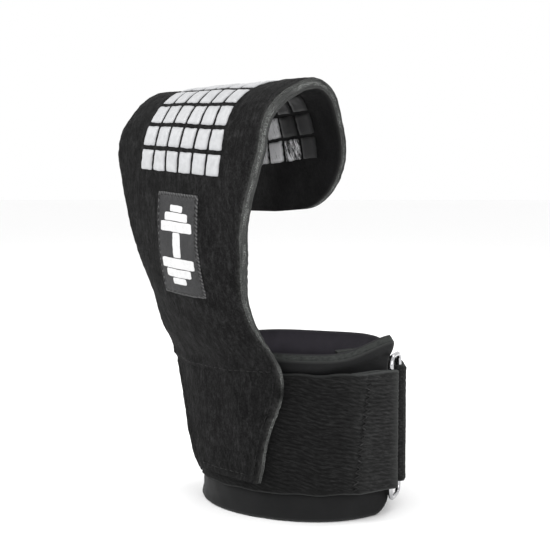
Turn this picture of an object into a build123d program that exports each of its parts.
from build123d import *
import os
from bisect import bisect_right
from math import sin, cos, tan, radians, hypot, sqrt

# Weight-lifting / gymnastics hand grip for a right hand: wrist cuff, straps with a
# wire ring, and a padded palm flap curled over as it is round a bar.
# Frame: origin at the centre of the wrist opening, in the plane of the cuff's
# lower edge. +Z runs up the forearm towards the fingers, -Y is the palm side
# that carries the flap, +X is the thumb side. Millimetres and degrees.

# ------------------------------------------------------------------ dimensions
# wrist cuff, a three-layer sheet
CUFF_A, CUFF_B = 40.5, 34.0          # outer semi-axes along X and Y
CUFF_H = 62.0
COVER_T, FOAM_T, LINING_T = 0.4, 2.35, 0.4
LAYER_GAP = 0.05                     # clearance between laminated layers
CUFF_T = COVER_T + FOAM_T + LINING_T + 2 * LAYER_GAP
TUCK = CUFF_T + 0.55                 # depth of the inner end below the outer end
OVERLAP_ANGLE = -10                  # the straighter outer end leaves the ellipse here
INNER_END_ANGLE = -382
TUCK_START, TUCK_SPAN = -288, 50.0   # where the cuff starts to dive, and over what angle
OUTER_END_STEPS, OUTER_END_STEP, OUTER_END_TURN = 9, 1.8, 1.55

# straps and hook and loop tape
STRAP_W, STRAP_T = 45.0, 1.8
STRAP_Z0 = 10.0
STRAP_Z1 = STRAP_Z0 + STRAP_W
STRAP_GAP = 0.1                      # cuff to strap, and strap to ring wire
TAPE_T = 0.9                         # thickness of the hook tape and of the loop tape
TAPE_GAP = 0.08
TAPE_MARGIN = 2.5                    # tape edge in from the strap edge
FOLD_BACK = 5.5                      # the long strap stops this far before the far leg
TAIL_END = 158                       # angle of the strap tail's end
TACK_MARGIN, TACK_COUNT = 1.5, 22
TACK_LIFT = 0.48                     # thread centre above the strap face
THREAD = 0.5

# wire ring
WIRE_R = 0.9
RING_CORNER_R = 3.4
NEAR_X, NEAR_Y = 43.9, 9.6           # vertical leg held by the short strap
FAR_X, FAR_Y = 37.1, 20.7            # vertical leg the long strap folds round
RING_Z0, RING_Z1 = 5.4, 59.8         # centre lines of the two short bars

# flap
FLAP_T = 4.5                         # padded thickness
PALM_T = 2.8                         # thinner free end against the palm
TAB_T = 1.8                          # single leather at the sewn-down tab
OUTER_T, INNER_T = 1.5, 1.3          # largest skin thicknesses; foam fills the rest
OUTER_SHARE, INNER_SHARE = 0.36, 0.32    # largest skin shares of the flap thickness
FLAP_LEAN = 3.9                      # centre line leans to +X
PIVOT_X, PIVOT_S = -2.0, 45.0        # the leaning centre line starts at this x and arc
END_R = 24.0                         # corner radius at the free end
END_ZONE = 30                        # stations are closer over this last length
MIN_ROW_W = 22                       # the free end stops where it gets narrower
TAB_S0 = 4.4                         # arc length at the tab's lower edge
HINGE_BASE, HINGE_FRONT, HINGE_BACK = 46.5, 134.0, 184.0    # fold lines, arc length
FOLD_GAP = {HINGE_BASE: 0.85, HINGE_FRONT: 0.65, HINGE_BACK: 0.65}    # half gaps

# parts on the flap's faces
FACE_GAP = 0.16                      # printed and sewn parts sit just off the leather
PRINT_T = 0.5                        # raised silicone grip squares
SQ_W, SQ_H = 7.0, 7.4                # grip square on the outer (finger) side
BAR_SQ_W, BAR_SQ_H = 7.8, 7.8        # grip square on the inner (bar) side
SQ_COLS, SQ_ROWS, BAR_SQ_ROWS = 6, 8, 9
ROW_PITCH, SQ_PITCH, BAR_SQ_PITCH = 9.0, 8.3, 9.05
SQ_U0, BAR_SQ_U0 = -24.3, -24.4      # left edge of the first column
LABEL_W, LABEL_H, LABEL_T = 24.5, 38.0, 0.5
LABEL_U, LABEL_V = 0.3, 51.8         # label centre on the strip
EMBLEM_T = 0.35

# outer surface of the flap on its centre line, (y, z)
PROFILE = [
    (-38.2, 10), (-38.2, 22), (-38.2, 36), (-38.25, 48), (-39.2, 55),
    (-41.6, 60), (-45.4, 65.5), (-49.1, 72), (-52.2, 78.5), (-54.9, 85.5),
    (-56.8, 92.5), (-58.0, 100), (-58.7, 108), (-58.9, 116), (-58.9, 124),
    (-58.7, 132), (-58.0, 139), (-56.2, 145.6), (-53.1, 151.2), (-48.6, 156.1),
    (-42.4, 159.6), (-35.4, 160.9), (-29.6, 160), (-25.2, 156.9), (-22.3, 151.3),
    (-20.7, 145), (-19.7, 138), (-19.0, 129), (-18.6, 121), (-18.4, 111)]
# tab and front panel: (height, half width)
WIDTHS = [
    (10, 15.6), (12, 16.8), (18, 20.4), (24, 22.7), (30, 24.8), (36, 26.8),
    (42, 29.1), (48, 31.4), (54, 33.0), (60, 32.1), (66, 29.8), (72, 28.2),
    (78, 27.8), (84, 28.4), (90, 29.7), (96, 31.2), (102, 32.7), (108, 34.4),
    (114, 36.0), (120, 37.7), (126, 39.8), (132, 42.0), (138, 43.3), (144, 43.3),
    (150, 43.0)]
# sewn-down tab: (height, centre line x)
TAB_CENTRE = [
    (10, 4.2), (12, 3.6), (18, 1.4), (24, 0.4), (30, -0.4), (36, -0.9),
    (42, -1.4), (48, -1.8), (54, -2.1), (55, -2.0)]

os.makedirs("parts", exist_ok=True)


def write(name, shape):
    """Write one STEP file; a list of solids becomes a group."""
    if isinstance(shape, list):
        shape = Compound(children=shape)
    shape.label = name
    export_step(shape, f"parts/{name}.step")


# ---------------------------------------------------------------- flap surface
def smooth_curve(points, per_span=24):
    """Dense points on a cubic through the points, weighted by chord length."""
    dense = []
    for i in range(len(points) - 1):
        p0, p1 = points[max(i - 1, 0)], points[i]
        p2, p3 = points[i + 1], points[min(i + 2, len(points) - 1)]
        d1 = hypot(p2[0] - p1[0], p2[1] - p1[1])
        d0 = hypot(p1[0] - p0[0], p1[1] - p0[1])
        d2 = hypot(p3[0] - p2[0], p3[1] - p2[1])
        chord = [p2[k] - p1[k] for k in (0, 1)]
        m1 = m2 = chord
        if d0:
            m1 = [((p1[k] - p0[k]) / d0 * d1 + chord[k] / d1 * d0) / (d0 + d1) * d1
                  for k in (0, 1)]
        if d2:
            m2 = [(chord[k] / d1 * d2 + (p3[k] - p2[k]) / d2 * d1) / (d1 + d2) * d1
                  for k in (0, 1)]
        for j in range(per_span):
            t = j / per_span
            h = (2*t**3 - 3*t*t + 1, t**3 - 2*t*t + t, -2*t**3 + 3*t*t, t**3 - t*t)
            dense.append(tuple(h[0]*p1[k] + h[1]*m1[k] + h[2]*p2[k] + h[3]*m2[k]
                               for k in (0, 1)))
    dense.append(points[-1])
    return dense


CURVE = smooth_curve(PROFILE)
ARC = [0.0]                          # arc length at each point of CURVE
for a, b in zip(CURVE, CURVE[1:]):
    ARC.append(ARC[-1] + hypot(b[0] - a[0], b[1] - a[1]))
S_END = ARC[-1]


def profile_at(s):
    """Point and unit tangent (y, z) of the outer profile at arc length s."""
    s = min(max(s, 0.0), S_END - 1e-6)
    i = bisect_right(ARC, s) - 1
    t = (s - ARC[i]) / (ARC[i + 1] - ARC[i])
    point = [CURVE[i][k] + t * (CURVE[i + 1][k] - CURVE[i][k]) for k in (0, 1)]
    a, b = CURVE[max(i - 6, 0)], CURVE[min(i + 7, len(CURVE) - 1)]
    length = hypot(b[0] - a[0], b[1] - a[1])
    return point, ((b[0] - a[0]) / length, (b[1] - a[1]) / length)


def lerp(table, x):
    """Linear interpolation in a table of (x, value), held level past its ends."""
    if x <= table[0][0]:
        return table[0][1]
    for (a, value_a), (b, value_b) in zip(table, table[1:]):
        if x <= b:
            return value_a + (value_b - value_a) * (x - a) / (b - a)
    return table[-1][1]


def arc_of_z(height):
    """Arc length where the profile first reaches a height."""
    return next(s for s, (y, z) in zip(ARC, CURVE) if z >= height)


# tables against arc length: half width, tab centre x, crown, thickness
WIDTH_S = [(arc_of_z(z), w) for z, w in WIDTHS] + [(190, 42.2), (S_END, 41.5)]
CENTRE_S = [(arc_of_z(z), x) for z, x in TAB_CENTRE]
# crown: inward depth per square of the distance from the centre line
CROWN = [(0, .0046), (45, .0048), (58, .0053), (76, .0053), (84, .0047), (100, .0024),
         (112, .0009), (122, .0004), (150, .0003), (175, -.0001), (S_END, -.0003)]
THICK = [(0, TAB_T), (50, TAB_T), (62, 2.8), (78, 4.0), (92, FLAP_T), (165, FLAP_T),
         (190, PALM_T), (S_END, PALM_T)]
LEAN_SIN, LEAN_COS, LEAN_TAN = (f(radians(FLAP_LEAN)) for f in (sin, cos, tan))


def centre_x(s):
    if s < PIVOT_S:
        return lerp(CENTRE_S, s)
    return PIVOT_X + (s - PIVOT_S) * LEAN_TAN


def skin(s, x, depth):
    """World point at arc s and world x, at a depth under the outer surface."""
    (y, z), (ty, tz) = profile_at(s)
    d = depth + lerp(CROWN, s) * (x - centre_x(s)) ** 2
    # the inward normal points towards the inside of the curl
    return (x, y + d * tz, z - d * ty)


def strip(u, v):
    """Strip coordinates (u across, v along from the pivot) to arc and x."""
    return PIVOT_S + v * LEAN_COS - u * LEAN_SIN, PIVOT_X + v * LEAN_SIN + u * LEAN_COS


FREE_END_V = (S_END - PIVOT_S - 1.2) / LEAN_COS - 2.0


def limits(s):
    """World x limits of the flap at arc s, with the rounded free end."""
    w, c = lerp(WIDTH_S, s), centre_x(s)
    if s <= S_END - 40:
        return c - w, c + w
    half = w * LEAN_COS
    inside = []
    samples = 400
    for i in range(samples + 1):
        x = c - w - 2 + (2 * w + 4) * i / samples
        ds, dx = s - PIVOT_S, x - PIVOT_X
        v = ds * LEAN_COS + dx * LEAN_SIN
        u = -ds * LEAN_SIN + dx * LEAN_COS
        if v > FREE_END_V or abs(u) > half:
            continue
        du, dv = abs(u) - (half - END_R), v - (FREE_END_V - END_R)
        if du > 0 and dv > 0 and hypot(du, dv) > END_R:
            continue
        inside.append(x)
    return (inside[0], inside[-1]) if inside else (c, c)


def stations(s0, s1, step):
    """Arc lengths from s0 to s1, closer together at the free end."""
    n = max(2, int(round((s1 - s0) / step)))
    out = [s0 + (s1 - s0) * i / n for i in range(n + 1)]
    if s1 > S_END - END_ZONE:
        out = [s for s in out if s < S_END - END_ZONE]
        s = S_END - END_ZONE
        while s < S_END - 0.4:
            out.append(s)
            s += 2.5 if s < S_END - 8 else 1.0
    return out


def triangle(a, b, c):
    return Face(Wire.make_polygon([Vector(*a), Vector(*b), Vector(*c)], close=True))


def rows_solid(rows):
    """Closed faceted solid from closed rings of equal length."""
    m = len(rows[0])
    faces = []
    for r0, r1 in zip(rows, rows[1:]):
        for i in range(m):
            j = (i + 1) % m
            faces.append(triangle(r0[i], r0[j], r1[j]))
            faces.append(triangle(r0[i], r1[j], r1[i]))
    for ring in (rows[0], rows[-1]):     # end caps, strips between the two skins
        for i in range(m // 2 - 1):
            a, b = ring[i], ring[i + 1]
            c, d = ring[m - 2 - i], ring[m - 1 - i]
            faces.append(triangle(a, b, c))
            faces.append(triangle(a, c, d))
    solid = Solid(Shell(faces))
    if solid.volume < 0:
        solid = Solid(Shell([-f for f in faces]))
    return solid


def ring_of(points, top, bottom):
    """Closed ring over (s, x) points: out at the top depth, back at the bottom."""
    return ([skin(s, x, top) for s, x in points] +
            [skin(s, x, bottom) for s, x in reversed(points)])


def layer(s0, s1, depths, step, inset=0.0, nx=12):
    """Full-width sheet of the flap; depths(s) gives its top and bottom depth."""
    rows = []
    for s in stations(s0, s1, step):
        lo, hi = limits(s)
        if hi - lo < MIN_ROW_W:
            break
        xs = [lo + (hi - lo) * i / nx for i in range(nx + 1)]
        xs[0] += inset
        xs[-1] -= inset
        rows.append(ring_of([(s, x) for x in xs], *depths(s)))
    return rows_solid(rows)


def patch(u0, u1, v0, v1, top, bottom, inner=False, nu=1, nv=1):
    """Small plate that follows the flap; depths from the outer or inner face."""
    rows = []
    for j in range(nv + 1):
        v = v0 + (v1 - v0) * j / nv
        upper, lower = [], []
        for i in range(nu + 1):
            s, x = strip(u0 + (u1 - u0) * i / nu, v)
            base = lerp(THICK, s) if inner else 0.0
            upper.append(skin(s, x, base + top))
            lower.append(skin(s, x, base + bottom))
        rows.append(upper + lower[::-1])
    return rows_solid(rows)


def split_at_folds(u0, u1, v0, v1):
    """Shorten or split a plate so that it keeps clear of the fold lines."""
    spans = [(v0, v1)]
    for hinge, gap in FOLD_GAP.items():
        before = (hinge - gap - 0.1 - PIVOT_S + u0 * LEAN_SIN) / LEAN_COS
        after = (hinge + gap + 0.1 - PIVOT_S + u1 * LEAN_SIN) / LEAN_COS
        kept = []
        for p, q in spans:
            if q <= before or p >= after:
                kept.append((p, q))
                continue
            if before - p > 1.0:
                kept.append((p, before))
            if q - after > 1.0:
                kept.append((after, q))
        spans = kept
    return spans


# ------------------------------------------------------- sheets round the wrist
def ellipse_at(theta, off=0.0):
    """Cuff ellipse point whose outward normal is at theta, moved out by off."""
    c, s = cos(radians(theta)), sin(radians(theta))
    h = sqrt((CUFF_A * c) ** 2 + (CUFF_B * s) ** 2)
    return (CUFF_A * CUFF_A * c / h + off * c, CUFF_B * CUFF_B * s / h + off * s)


def with_normals(points):
    """(x, y, nx, ny) along a line; the normal is to the left of travel."""
    out = []
    for i, (x, y) in enumerate(points):
        a, b = points[max(i - 1, 0)], points[min(i + 1, len(points) - 1)]
        dx, dy = b[0] - a[0], b[1] - a[1]
        length = hypot(dx, dy)
        out.append((x, y, -dy / length, dx / length))
    return out


def band(outer, inner, z0, z1):
    """Upright prism between two splines."""
    edges = [Spline(*[Vector(x, y, z0) for x, y in outer]),
             Line(Vector(*outer[0], z0), Vector(*inner[0], z0)),
             Spline(*[Vector(x, y, z0) for x, y in inner]),
             Line(Vector(*outer[-1], z0), Vector(*inner[-1], z0))]
    return extrude(Face(Wire(edges)), amount=z1 - z0, dir=(0, 0, 1)).solids()[0]


def sheet(line, d0, d1, z0, z1):
    """Sheet between two depths, measured against the line's normals."""
    outer, inner = [[(x - nx * d, y - ny * d) for x, y, nx, ny in line] for d in (d0, d1)]
    return band(outer, inner, z0, z1)


# ------------------------------------------------------------------ wrist cuff
def ease(t):
    t = min(max(t, 0.0), 1.0)
    return t * t * (3 - 2 * t)


def cuff_line():
    """Clockwise from the outer end to the tucked inner end, so normals face out."""
    x, y = ellipse_at(OVERLAP_ANGLE)
    heading = OVERLAP_ANGLE + 90.0
    end = []
    for _ in range(OUTER_END_STEPS):
        heading += OUTER_END_TURN
        x += OUTER_END_STEP * cos(radians(heading))
        y += OUTER_END_STEP * sin(radians(heading))
        end.append((x, y))
    wrap = [ellipse_at(theta, -TUCK * ease((TUCK_START - theta) / TUCK_SPAN))
            for theta in range(OVERLAP_ANGLE, INNER_END_ANGLE - 1, -6)]
    return with_normals(end[::-1] + wrap)


CUFF_LINE = cuff_line()
FOAM_D = COVER_T + LAYER_GAP
for name, d0, d1 in (("cuff_cover", 0.0, COVER_T),
                     ("cuff_foam", FOAM_D, FOAM_D + FOAM_T),
                     ("cuff_lining", CUFF_T - LINING_T, CUFF_T)):
    write(name, sheet(CUFF_LINE, d0, d1, 0, CUFF_H))

# ---------------------------------------------------------------------- straps
BEND_R = WIRE_R + STRAP_GAP + STRAP_T / 2    # strap centre line round a ring leg
ON_CUFF = STRAP_GAP + STRAP_T / 2            # strap centre line off the cuff


def write_strap(name, line):
    write(name, sheet(line, -STRAP_T / 2, STRAP_T / 2, STRAP_Z0, STRAP_Z1))


# short elastic strap: from under the tab, round the near leg, back inside
points = [ellipse_at(theta, ON_CUFF) for theta in range(-114, -40, 6)]
# (angle, offset) where it lifts off the cuff to pass over its own end
for theta, off in ((-38, 1.1), (-32, 1.6), (-26, 2.5), (-20, 3.12), (-13, 3.3)):
    points.append(ellipse_at(theta, off))
points += [(43.75, -1.4), (44.9, 3.6)]
for angle in range(-12, 177, 13):
    points.append((NEAR_X + BEND_R * cos(radians(angle)),
                   NEAR_Y + BEND_R * sin(radians(angle))))
points += [(NEAR_X - BEND_R - 0.12, NEAR_Y - 3.0), (41.9, 3.0), (41.45, -2.6),
           ellipse_at(-14.5, 1.0)]
SHORT_LINE = with_normals(points)
write_strap("ring_strap", SHORT_LINE)


def leave_error(theta):
    """How far the tangent line at theta misses running BEND_R inside the far leg."""
    x, y = ellipse_at(theta, ON_CUFF)
    return abs((FAR_X - x) * cos(radians(theta)) + (FAR_Y - y) * sin(radians(theta))
               - BEND_R)


# the long strap leaves the cuff at this angle, to the nearest 0.1 degree
LEAVE = min((k / 10.0 for k in range(300, 900)), key=leave_error)
OUT_X, OUT_Y = cos(radians(LEAVE)), sin(radians(LEAVE))    # outward normal there
RUN_X, RUN_Y = OUT_Y, -OUT_X                               # travel towards the ring
FOLD_IN = (FAR_X - BEND_R * OUT_X, FAR_Y - BEND_R * OUT_Y)
FOLD_OUT = (FAR_X + BEND_R * OUT_X, FAR_Y + BEND_R * OUT_Y)


def along_run(point, distance):
    return (point[0] + RUN_X * distance, point[1] + RUN_Y * distance)


# long strap: from under the tab, round the little-finger side and the back of
# the wrist, then straight towards the ring's far leg
points = []
theta = -120.0
while theta > LEAVE - 360 + 3:
    points.append(ellipse_at(theta, ON_CUFF))
    theta -= 6.0
start = ellipse_at(LEAVE, ON_CUFF)
run = hypot(FOLD_IN[0] - start[0], FOLD_IN[1] - start[1]) - FOLD_BACK
points += [along_run(start, run * f) for f in (0.0, 0.33, 0.66, 1.0)]
write_strap("wrist_strap", with_normals(points))

# fold of the long strap round the far leg, a separate piece
points = [along_run(FOLD_IN, -(FOLD_BACK - 0.7)), along_run(FOLD_IN, -2.4), FOLD_IN]
for k in range(1, 12):
    angle = radians(LEAVE + 180 + 15 * k)
    points.append((FAR_X + BEND_R * cos(angle), FAR_Y + BEND_R * sin(angle)))
points += [FOLD_OUT, along_run(FOLD_OUT, -0.6)]
write_strap("strap_fold", with_normals(points))

# strap tail: doubled back outside the long strap
LOOP_OFF = STRAP_GAP + STRAP_T + TAPE_GAP                  # inner face of the loop tape
TAIL_OFF = LOOP_OFF + TAPE_T + TAPE_GAP + TAPE_T + 0.06    # inner face of the tail
HOOK_OFF = TAIL_OFF - 0.06 - TAPE_T                        # inner face of the hook tape
start = along_run(FOLD_OUT, -1.8)
landing = ellipse_at(LEAVE, TAIL_OFF + STRAP_T / 2)
points = [(start[0] * (1 - f) + landing[0] * f, start[1] * (1 - f) + landing[1] * f)
          for f in (0.0, 0.25, 0.5, 0.75)]
theta = LEAVE
while theta <= TAIL_END:
    points.append(ellipse_at(theta, TAIL_OFF + STRAP_T / 2))
    theta += 6.0
TAIL_LINE = with_normals(points)
write_strap("strap_tail", TAIL_LINE)


def tape(theta0, theta1, off):
    """Tape on the cuff ellipse between two angles, inner face at off."""
    n = max(3, int(abs(theta1 - theta0) / 6.0))
    thetas = [theta0 + (theta1 - theta0) * i / n for i in range(n + 1)]
    return band([ellipse_at(t, off + TAPE_T) for t in thetas],
                [ellipse_at(t, off) for t in thetas],
                STRAP_Z0 + TAPE_MARGIN, STRAP_Z1 - TAPE_MARGIN)


# loop tape outside the long strap, hook tape inside the tail
write("loop_patch", tape(LEAVE + 4, 196, LOOP_OFF))
write("hook_patch", tape(TAIL_END - 52, TAIL_END - 4, HOOK_OFF))


# ------------------------------------------------------------------- wire ring
def ring_solid():
    """Rounded rectangle of wire in the upright plane through both legs."""
    width = hypot(FAR_X - NEAR_X, FAR_Y - NEAR_Y)
    ux, uy = (FAR_X - NEAR_X) / width, (FAR_Y - NEAR_Y) / width

    def at(a, z):
        return Vector(NEAR_X + ux * a, NEAR_Y + uy * a, z)

    r = RING_CORNER_R
    q = r * (1 - sqrt(0.5))
    z0, z1 = RING_Z0, RING_Z1
    path = Wire([
        Line(at(0, z0 + r), at(0, z1 - r)),
        ThreePointArc(at(0, z1 - r), at(q, z1 - q), at(r, z1)),
        Line(at(r, z1), at(width - r, z1)),
        ThreePointArc(at(width - r, z1), at(width - q, z1 - q), at(width, z1 - r)),
        Line(at(width, z1 - r), at(width, z0 + r)),
        ThreePointArc(at(width, z0 + r), at(width - q, z0 + q), at(width - r, z0)),
        Line(at(width - r, z0), at(r, z0)),
        ThreePointArc(at(r, z0), at(q, z0 + q), at(0, z0 + r))])
    section = Plane(origin=at(0, z0 + r), z_dir=(0, 0, 1)) * Circle(WIRE_R)
    return sweep(section, path=path).solids()[0]


write("buckle_ring", ring_solid())


# ----------------------------------------------------------------- flap layers
def outer_depths(s):
    return 0.0, min(OUTER_T, lerp(THICK, s) * OUTER_SHARE)


def inner_depths(s):
    thick = lerp(THICK, s)
    return thick - min(INNER_T, thick * INNER_SHARE), thick


def foam_depths(s):
    return outer_depths(s)[1] + 2 * LAYER_GAP, inner_depths(s)[0] - 2 * LAYER_GAP


write("base_tab", layer(TAB_S0, HINGE_BASE - FOLD_GAP[HINGE_BASE],
                        lambda s: (0.0, TAB_T), step=4.0, nx=14))
# (panel, start arc, end arc, station step)
PANELS = [
    ("front_flap", HINGE_BASE + FOLD_GAP[HINGE_BASE],
     HINGE_FRONT - FOLD_GAP[HINGE_FRONT], 4.0),
    ("loop", HINGE_FRONT + FOLD_GAP[HINGE_FRONT],
     HINGE_BACK - FOLD_GAP[HINGE_BACK], 2.5),
    ("palm_flap", HINGE_BACK + FOLD_GAP[HINGE_BACK], S_END - 0.4, 4.0)]
for name, s0, s1, step in PANELS:
    write(name + "_outer", layer(s0, s1, outer_depths, step))
    write(name + "_foam", layer(s0, s1, foam_depths, step, inset=0.3))
    write(name + "_inner", layer(s0, s1, inner_depths, step))


# ---------------------------------------------------------------- grip squares
def write_squares(prefix, rows, u_first, pitch, width, top, bottom, inner):
    """Grid of squares, grouped by panel; rows holds (v0, v1) of each row."""
    groups = {"front": [], "arc": [], "palm": []}
    for v0, v1 in rows:
        for col in range(SQ_COLS):
            u0 = u_first + pitch * col
            u1 = u0 + width
            for p, q in split_at_folds(u0, u1, v0, v1):
                s, _ = strip((u0 + u1) / 2, (p + q) / 2)
                panel = "front" if s < HINGE_FRONT else "arc" if s < HINGE_BACK else "palm"
                groups[panel].append(patch(u0, u1, p, q, top, bottom, inner,
                                           nv=max(1, int((q - p) / 2.2))))
    for panel, squares in groups.items():
        write(f"{prefix}_{panel}", squares)


first_v = (123.1 - PIVOT_S) / LEAN_COS          # start of the first outer row
last_v = (204.5 - PIVOT_S) / LEAN_COS + 0.2     # end of the last inner row
outer_rows = [(first_v + ROW_PITCH * r, first_v + ROW_PITCH * r + SQ_H)
              for r in range(SQ_ROWS)]
bar_rows = [(last_v - ROW_PITCH * r - BAR_SQ_H, last_v - ROW_PITCH * r)
            for r in range(BAR_SQ_ROWS)]
write_squares("grip_squares", outer_rows, SQ_U0, SQ_PITCH, SQ_W,
              -FACE_GAP - PRINT_T, -FACE_GAP, inner=False)
write_squares("bar_squares", bar_rows, BAR_SQ_U0, BAR_SQ_PITCH, BAR_SQ_W,
              2 * FACE_GAP, 2 * FACE_GAP + PRINT_T, inner=True)

# ----------------------------------------------------------------- woven label
label_u0, label_u1 = LABEL_U - LABEL_W / 2, LABEL_U + LABEL_W / 2
label_v0, label_v1 = LABEL_V - LABEL_H / 2, LABEL_V + LABEL_H / 2
write("label_patch", patch(label_u0, label_u1, label_v0, label_v1,
                           -FACE_GAP - LABEL_T, -FACE_GAP, nu=3, nv=12))

# emblem and stitches share one depth range, just off the label
on_label = (-2 * FACE_GAP - LABEL_T - EMBLEM_T, -2 * FACE_GAP - LABEL_T)
# emblem bars: (width, start, end), along the strip from the label centre
EMBLEM = [(8.0, 12.2, 14.6), (14.5, 8.9, 12.1), (19.0, 4.9, 8.8), (4.6, -4.8, 4.8),
          (19.0, -8.8, -4.9), (14.5, -12.1, -8.9), (8.0, -14.6, -12.2)]
write("label_emblem", [patch(LABEL_U - w / 2, LABEL_U + w / 2, LABEL_V + va, LABEL_V + vb,
                             *on_label, nu=2, nv=2) for w, va, vb in EMBLEM])

LABEL_MARGIN, LABEL_STITCH, LABEL_THREAD = 1.3, 1.7, 0.4
half = LABEL_THREAD / 2
stitches = []
for k in range(12):                  # both long sides
    v = label_v0 + 1.4 + 3.07 * k
    for u in (label_u0 + LABEL_MARGIN, label_u1 - LABEL_MARGIN):
        stitches.append(patch(u - half, u + half, v, v + LABEL_STITCH, *on_label))
for k in range(7):                   # both short ends
    u = label_u0 + 2.6 + 2.85 * k
    for v in (label_v0 + LABEL_MARGIN, label_v1 - LABEL_MARGIN):
        stitches.append(patch(u, u + LABEL_STITCH, v - half, v + half, *on_label))
write("label_stitching", stitches)

# --------------------------------------------------------------- flap stitching
on_leather = (-FACE_GAP - 0.5, -FACE_GAP - 0.05)

# stitch line straight across the flap, just past the base fold
stitches = []
for k in range(-9, 10):
    u = k * 3.1 - 1.0
    v = 3.4 + (u + 1.0) * LEAN_TAN
    stitches.append(patch(u, u + 2.0, v - THREAD / 2, v + THREAD / 2, *on_leather))
write("seam_stitching", stitches)


def tab_stitch(s, x, ds, dx):
    """One stitch on the tab from (s, x) to (s + ds, x + dx)."""
    length = hypot(ds, dx)
    side_s, side_x = dx / length * THREAD / 2, -ds / length * THREAD / 2
    return rows_solid([
        ring_of([(a - side_s, b - side_x), (a + side_s, b + side_x)], *on_leather)
        for a, b in ((s, x), (s + ds, x + dx))])


TAB_MARGIN, TAB_STITCH, TAB_PITCH = 2.6, 2.2, 3.4
stitches = []
s = 7.0
while s < HINGE_BASE - 6:            # up both sides
    w0, w1 = (lerp(WIDTH_S, a) - TAB_MARGIN for a in (s, s + TAB_STITCH))
    stitches.append(tab_stitch(s, centre_x(s) + w0, TAB_STITCH, w1 - w0))
    stitches.append(tab_stitch(s, centre_x(s) - w0, TAB_STITCH, w0 - w1))
    s += TAB_PITCH
for k in range(-4, 5):               # along the lower edge
    stitches.append(tab_stitch(6.8, centre_x(6.8) + TAB_PITCH * k - TAB_STITCH / 2,
                               0.0, TAB_STITCH))
write("tab_stitching", stitches)


# ----------------------------------------------------------------- strap tacks
def thread(p, q):
    """Thin square thread from p to q."""
    section = Plane(origin=p, z_dir=q - p) * Rectangle(THREAD, THREAD)
    return extrude(section, amount=(q - p).length).solids()[0]


def beside_line(line, i, f):
    """Thread position at fraction f past point i, on the right of travel."""
    x, y, nx, ny = (a + (b - a) * f for a, b in zip(line[i], line[i + 1]))
    off = -(STRAP_T / 2 + TACK_LIFT) / hypot(nx, ny)
    return x + nx * off, y + ny * off


def zigzag(line, i, middle, half):
    """Zigzag up the strap's outward face, within the line's segment i."""
    sides = [beside_line(line, i, middle - half), beside_line(line, i, middle + half)]
    z0, height = STRAP_Z0 + TACK_MARGIN, STRAP_W - 2 * TACK_MARGIN
    threads = []
    for k in range(TACK_COUNT):
        a = Vector(*sides[k % 2], z0 + height * k / TACK_COUNT)
        b = Vector(*sides[1 - k % 2], z0 + height * (k + 1) / TACK_COUNT)
        threads.append(thread(a + (b - a) * 0.10, a + (b - a) * 0.90))
    return threads


# both lines run anticlockwise, so the right of travel faces away from the wrist
double_i = next(i for i, p in enumerate(SHORT_LINE) if p[0] > 40 and p[1] > -7.6)
write("ring_strap_tack", zigzag(SHORT_LINE, double_i, 0.45, 0.2))
write("tail_tack", zigzag(TAIL_LINE, len(TAIL_LINE) - 2, 0.5, 0.35))
